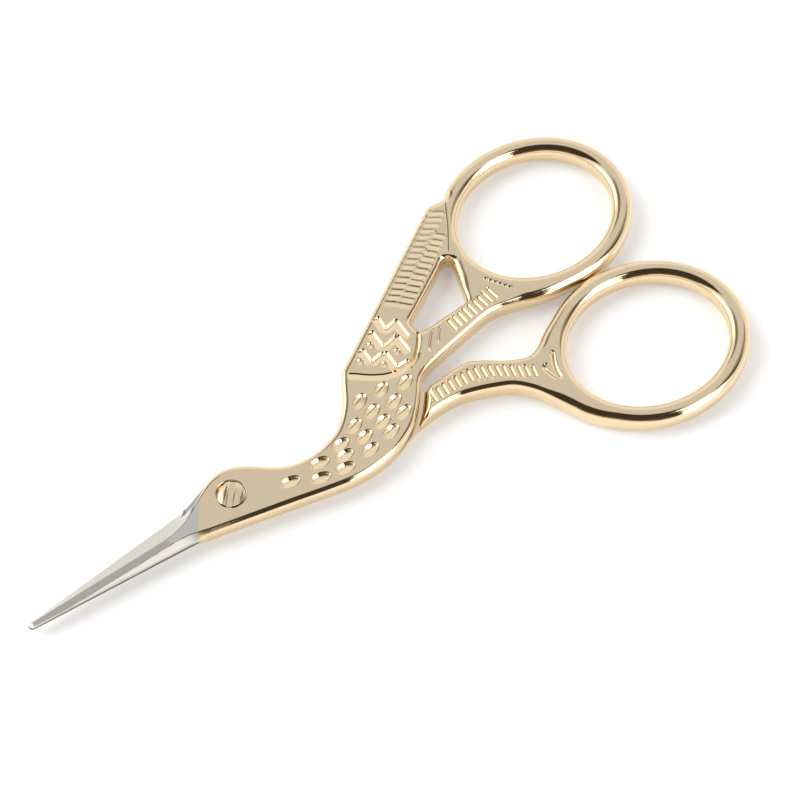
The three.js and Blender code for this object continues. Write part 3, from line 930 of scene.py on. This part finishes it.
def on_rim(start, end, count):
    """Points of the head's rim between two angles."""
    angle = np.linspace(start, end, count)
    return np.column_stack([np.cos(angle), np.sin(angle)]) * HEAD_RADIUS


def pivot_screw():
    """The slotted head in two halves, its slot, the shank and the plain end that stands for the thread."""
    shell = Shell()
    slot_angle = math.asin(SLOT_HALF / HEAD_RADIUS)
    half_rim = on_rim(slot_angle, math.pi - slot_angle, RIM_POINTS)
    slot_end = on_rim(-slot_angle, slot_angle, SLOT_END_POINTS)
    for side in (1, -1):
        rim = half_rim * (1, side)
        edge = even([rim[-1], rim[0]], SCREW_STEP)
        chord = edge[1:-1]
        loop = np.vstack([rim, chord])
        middle = np.array((0, side * SLOT_HALF))
        rows = [middle + (loop - middle) * share for share in HEAD_ROWS]
        rows += [chord + (0, side * LIP_WIDTH * share) for share in LIP_ROWS]
        rows = np.vstack(rows)
        rows = rows[within(rows, [loop])]
        flat, faces = fill([loop], rows[edge_distance(rows, [loop]) > RIM_CLEARANCE])
        shell.sheet(flat, faces, dome(flat))
        shell.wall(rim, (dome(rim), SLOT_FLOOR, HEAD_SEAT), loop=False)
        shell.wall(edge, (dome(edge), SLOT_FLOOR), loop=False)
    upper = even([slot_end[-1], slot_end[-1] * (-1, 1)], SCREW_STEP)[1:-1]
    floor = np.vstack([slot_end, upper, slot_end[::-1] * (-1, 1), upper[::-1] * (1, -1)])
    flat, faces = fill([floor])
    shell.sheet(flat, faces, np.full(len(flat), SLOT_FLOOR))
    for mirror in (1, -1):
        shell.wall(slot_end * (mirror, 1), (SLOT_FLOOR, HEAD_SEAT), loop=False)
    rim = np.vstack([slot_end[:-1], half_rim[:-1], -slot_end[:-1], -half_rim[:-1]])
    shank = circle(SHANK_RADIUS, SHANK_STEP)
    thread = circle(THREAD_RADIUS, SHANK_STEP)
    for outer, inner, height in ((rim, shank, HEAD_SEAT), (shank[::-1], thread, SHOULDER_HEIGHT)):
        flat, faces = fill([outer, inner])
        shell.sheet(flat, faces, np.full(len(flat), height))
    shell.wall(shank, (HEAD_SEAT, SHOULDER_HEIGHT))
    shell.wall(thread, (SHOULDER_HEIGHT, 0.0))
    flat, faces = fill([thread[::-1]])
    shell.sheet(flat, faces, np.zeros(len(flat)))
    for index, points in enumerate(shell.points):
        x, y, z = points.T
        shell.points[index] = np.column_stack([turned(x, y, SLOT_TURN), z])
    return shell.piece("slotted_screw")


screw = pivot_screw()


# Materials

GOLD_DEEP = (0.872, 0.694, 0.445)
GOLD_PALE = (0.884, 0.71, 0.47)
STEEL = (0.695, 0.664, 0.592)
GOLD_ROUGHNESS = (0.05, 0.085)
STEEL_ROUGHER = 0.08

# Clouds of tone and polish in the plating and its fine ripple: scales per metre, height in metres
CLOUD_SCALE = 260.0
CLOUD_DETAIL = 3.0
CLOUD_SPAN = (0.3, 0.7)
RIPPLE_SCALE = 1800.0
RIPPLE_DETAIL = 2.0
RIPPLE_HEIGHT = 5e-6

# The plating's edge across the shank: its direction, place and softness, metres
PLATING_EDGE = (0.785, -0.619, 0.0)
PLATING_REACH = -0.00365
PLATING_SOFT = 0.00012

# Where the two halves ride on each other the plating is rubbed off: level, X and Y, metres
RUBBED_LEVEL = 0.0015
RUBBED_BAND = 6e-5
RUBBED_X = (0.003, 0.004)
RUBBED_Y = (-0.0031, -0.0028)

# The plating is duller near its edge, below the flat face, metres
WORN_START = 0.001
WORN_REACH = 0.008
WORN_BELOW = 0.00294
WORN_ROUGHER = 0.22


class Nodes:
    """Short ways to add and join the nodes of a material or a world."""
    FACTOR = 0
    FIRST_COLOUR = 6
    SECOND_COLOUR = 7
    MIXED_COLOUR = 2

    def __init__(self, tree):
        self.tree = tree

    def add(self, kind, inputs=(), **settings):
        made = self.tree.nodes.new(kind)
        for key, value in settings.items():
            setattr(made, key, value)
        for key, value in dict(inputs).items():
            self.put(value, made.inputs[key])
        return made

    def put(self, value, socket):
        if isinstance(value, bpy.types.NodeSocket):
            self.tree.links.new(value, socket)
        else:
            socket.default_value = value

    def math(self, operation, first, second=0.0):
        return self.add("ShaderNodeMath", {0: first, 1: second}, operation=operation).outputs[0]

    def noise(self, place, scale, detail):
        made = self.add("ShaderNodeTexNoise", {"Vector": place, "Scale": scale, "Detail": detail})
        return made.outputs["Fac"]

    def dot(self, first, second):
        made = self.add("ShaderNodeVectorMath", {0: first, 1: second}, operation="DOT_PRODUCT")
        return made.outputs["Value"]

    def step(self, value, low, high, result_low=0.0, result_high=1.0):
        made = self.add("ShaderNodeMapRange", {
            "Value": value, "From Min": low, "From Max": high,
            "To Min": result_low, "To Max": result_high,
        }, interpolation_type="SMOOTHSTEP")
        return made.outputs["Result"]

    def mix(self, share, first, second):
        made = self.add("ShaderNodeMix", data_type="RGBA")
        self.put(share, made.inputs[self.FACTOR])
        self.put(first, made.inputs[self.FIRST_COLOUR])
        self.put(second, made.inputs[self.SECOND_COLOUR])
        return made.outputs[self.MIXED_COLOUR]


def colour(values):
    """Red, green and blue with full cover."""
    return (*values, 1.0)


def plated_metal(name, bladed):
    """Polished gold plate, and bare ground steel where the plating ends before the blade."""
    material = bpy.data.materials.new(name)
    material.use_nodes = True
    nodes = Nodes(material.node_tree)
    shader = material.node_tree.nodes["Principled BSDF"]
    shader.inputs["Metallic"].default_value = 1.0
    place = nodes.add("ShaderNodeTexCoord").outputs["Object"]
    cloud = nodes.noise(place, CLOUD_SCALE, CLOUD_DETAIL)
    tone = nodes.mix(cloud, colour(GOLD_DEEP), colour(GOLD_PALE))
    rough = nodes.step(cloud, *CLOUD_SPAN, *GOLD_ROUGHNESS)
    if bladed:
        across = nodes.dot(place, PLATING_EDGE)
        bare = nodes.step(across, PLATING_REACH - PLATING_SOFT, PLATING_REACH + PLATING_SOFT, 1.0, 0.0)
        x, y, z = nodes.add("ShaderNodeSeparateXYZ", {"Vector": place}).outputs
        off_level = nodes.math("ABSOLUTE", nodes.math("SUBTRACT", z, RUBBED_LEVEL))
        rubbed = nodes.math("LESS_THAN", off_level, RUBBED_BAND)
        rubbed = nodes.math("MULTIPLY", rubbed, nodes.step(x, *RUBBED_X, 1.0, 0.0))
        rubbed = nodes.math("MULTIPLY", rubbed, nodes.step(y, *RUBBED_Y))
        bare = nodes.math("MAXIMUM", bare, rubbed)
        tone = nodes.mix(bare, tone, colour(STEEL))
        rough = nodes.math("ADD", rough, nodes.math("MULTIPLY", bare, STEEL_ROUGHER))
        worn = nodes.step(across, PLATING_REACH + WORN_START, PLATING_REACH + WORN_REACH, 1.0, 0.0)
        worn = nodes.math("MULTIPLY", worn, nodes.math("LESS_THAN", z, WORN_BELOW))
        rough = nodes.math("ADD", rough, nodes.math("MULTIPLY", worn, WORN_ROUGHER))
    nodes.put(tone, shader.inputs["Base Color"])
    nodes.put(rough, shader.inputs["Roughness"])
    ripple = nodes.noise(place, RIPPLE_SCALE, RIPPLE_DETAIL)
    bump = nodes.add("ShaderNodeBump", {"Height": ripple, "Strength": 1.0, "Distance": RIPPLE_HEIGHT})
    nodes.put(bump.outputs["Normal"], shader.inputs["Normal"])
    return material


plate = plated_metal("gold_plate_finish", True)
screw_plate = plated_metal("screw_finish", False)
for built, finish, body, replaced, slot in (
    (stork_half, plate, "stork_side", "stork_half", "gold_plate"),
    (leg_half, plate, "leg_side", "leg_half", "gold_plate"),
    (screw, screw_plate, "leg_side", "pivot_screw", "screw_gold"),
):
    built.data.materials.append(finish)
    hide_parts(replaced)
    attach(built, body)


# Stage, light and camera

TABLE_HALF = 1.5
TABLE_LEVEL = -0.00002
PAPER = (0.9, 0.9, 0.9)
PAPER_GLOW = 0.25
KEY_ENERGY = 1.65
KEY_ANGLE = math.radians(48)
KEY_HEADING = (-106, 44)
CAMERA_TARGET = Vector((23.6, -2.3, 3.0)) * MM
CAMERA_DISTANCE = 304.46 * MM
CAMERA_AZIMUTH = math.radians(-128.27)
CAMERA_ELEVATION = 60
CAMERA_FIELD = math.radians(18)
SENSOR = 36

# The studio that the metal mirrors: azimuth to the left of the camera's own, elevation, half width and
# half height in degrees, softness of the edge, and tint
STUDIO = [
    ("far ceiling", 180, 64, 60, 17, 0.25, (0.715, 0.735, 0.79)),
    ("dark room behind the camera", -8, 62, 38, 38, 0.12, (0.052, 0.044, 0.035)),
    ("dark room, right", 26, 30, 13, 17, 0.12, (0.052, 0.044, 0.035)),
    ("warm floor of the dark room", -6, 27, 34, 8, 0.35, (0.2, 0.12, 0.06)),
    ("right softbox, top", 78, 57, 10, 12, 0.12, (2.4, 2.4, 2.4)),
    ("right softbox, middle", 67, 41, 15, 13, 0.12, (2.4, 2.4, 2.4)),
    ("right softbox, foot", 57, 22, 15, 11, 0.12, (2.4, 2.4, 2.4)),
    ("right softbox, stand", 46, 14, 7, 11, 0.12, (2.4, 2.4, 2.4)),
    ("gap beside it", 104, 47, 9, 14, 0.3, (0.10, 0.085, 0.07)),
    ("shade beyond the gap", 126, 48, 9, 12, 0.35, (0.35, 0.32, 0.27)),
    ("left softbox", -100, 18, 30, 20, 0.2, (2.0, 2.0, 2.0)),
    ("gap above it", -145, 47, 13, 12, 0.35, (0.25, 0.23, 0.20)),
]
WALLS = (0.97, 0.97, 0.97)
CORNER_POWER = 4.0


def heading(azimuth, elevation):
    """Direction of a place in the studio, as STUDIO gives it."""
    turn = CAMERA_AZIMUTH + math.radians(azimuth)
    rise = math.radians(elevation)
    return Vector((math.cos(turn) * math.cos(rise), math.sin(turn) * math.cos(rise), math.sin(rise)))


def white_paper():
    """White paper that is bright to the eye and in mirrors, and still takes the shadow."""
    material = bpy.data.materials.new("white_paper")
    material.use_nodes = True
    nodes = Nodes(material.node_tree)
    shader = material.node_tree.nodes["Principled BSDF"]
    shader.inputs["Base Color"].default_value = colour(PAPER)
    shader.inputs["Roughness"].default_value = 1.0
    shader.inputs["Specular IOR Level"].default_value = 0.0
    shader.inputs["Emission Color"].default_value = colour(PAPER)
    path = nodes.add("ShaderNodeLightPath")
    direct = nodes.math("MAXIMUM", path.outputs["Is Camera Ray"], path.outputs["Is Glossy Ray"])
    direct = nodes.math("MAXIMUM", direct, path.outputs["Is Transmission Ray"])
    nodes.put(nodes.math("MULTIPLY", direct, PAPER_GLOW), shader.inputs["Emission Strength"])
    return material


def paper_table():
    """The sheet that the scissors lie on."""
    low, high = -TABLE_HALF, TABLE_HALF
    mesh = bpy.data.meshes.new("table")
    mesh.from_pydata([(low, low, 0), (high, low, 0), (high, high, 0), (low, high, 0)], [], [(0, 1, 2, 3)])
    mesh.materials.append(white_paper())
    table = bpy.data.objects.new("table", mesh)
    table.location.z = TABLE_LEVEL
    bpy.context.scene.collection.objects.link(table)
    return table


def studio_world():
    """A pale room with the studio's soft lights and dark places in it."""
    world = bpy.data.worlds.new("studio")
    world.use_nodes = True
    nodes = Nodes(world.node_tree)
    look = nodes.add("ShaderNodeTexCoord").outputs["Generated"]
    seen = colour(WALLS)
    for _, azimuth, elevation, half_width, half_height, soft, tint in STUDIO:
        centre = heading(azimuth, elevation)
        aside = Vector((0, 0, 1)).cross(centre).normalized()
        ahead = nodes.dot(look, centre)
        powers = []
        for direction, half in ((aside, half_width), (centre.cross(aside), half_height)):
            angle = nodes.math("ARCTAN2", nodes.dot(look, direction), ahead)
            share = nodes.math("ABSOLUTE", nodes.math("DIVIDE", angle, math.radians(half)))
            powers.append(nodes.math("POWER", share, CORNER_POWER))
        away = nodes.math("POWER", nodes.math("ADD", *powers), 1 / CORNER_POWER)
        seen = nodes.mix(nodes.step(away, 1 - soft, 1 + soft, 1.0, 0.0), seen, colour(tint))
    nodes.put(seen, world.node_tree.nodes["Background"].inputs["Color"])
    return world


def key_light():
    """A broad soft light from the left, which the metal doesn't mirror."""
    light = bpy.data.lights.new("key", "SUN")
    light.energy = KEY_ENERGY
    light.angle = KEY_ANGLE
    key = bpy.data.objects.new("key", light)
    key.visible_glossy = False
    key.rotation_euler = heading(*KEY_HEADING).to_track_quat("Z", "Y").to_euler()
    bpy.context.scene.collection.objects.link(key)


def photo_camera():
    """The camera at the photograph's angle and distance."""
    data = bpy.data.cameras.new("camera")
    data.sensor_width = SENSOR
    data.lens = SENSOR / 2 / math.tan(CAMERA_FIELD / 2)
    camera = bpy.data.objects.new("camera", data)
    direction = heading(0, CAMERA_ELEVATION)
    camera.location = CAMERA_TARGET + direction * CAMERA_DISTANCE
    camera.rotation_euler = direction.to_track_quat("Z", "Y").to_euler()
    bpy.context.scene.collection.objects.link(camera)
    return camera


table = paper_table()
key_light()
bpy.context.scene.world = studio_world()
bpy.context.scene.camera = photo_camera()
bpy.context.scene.view_settings.view_transform = "Standard"
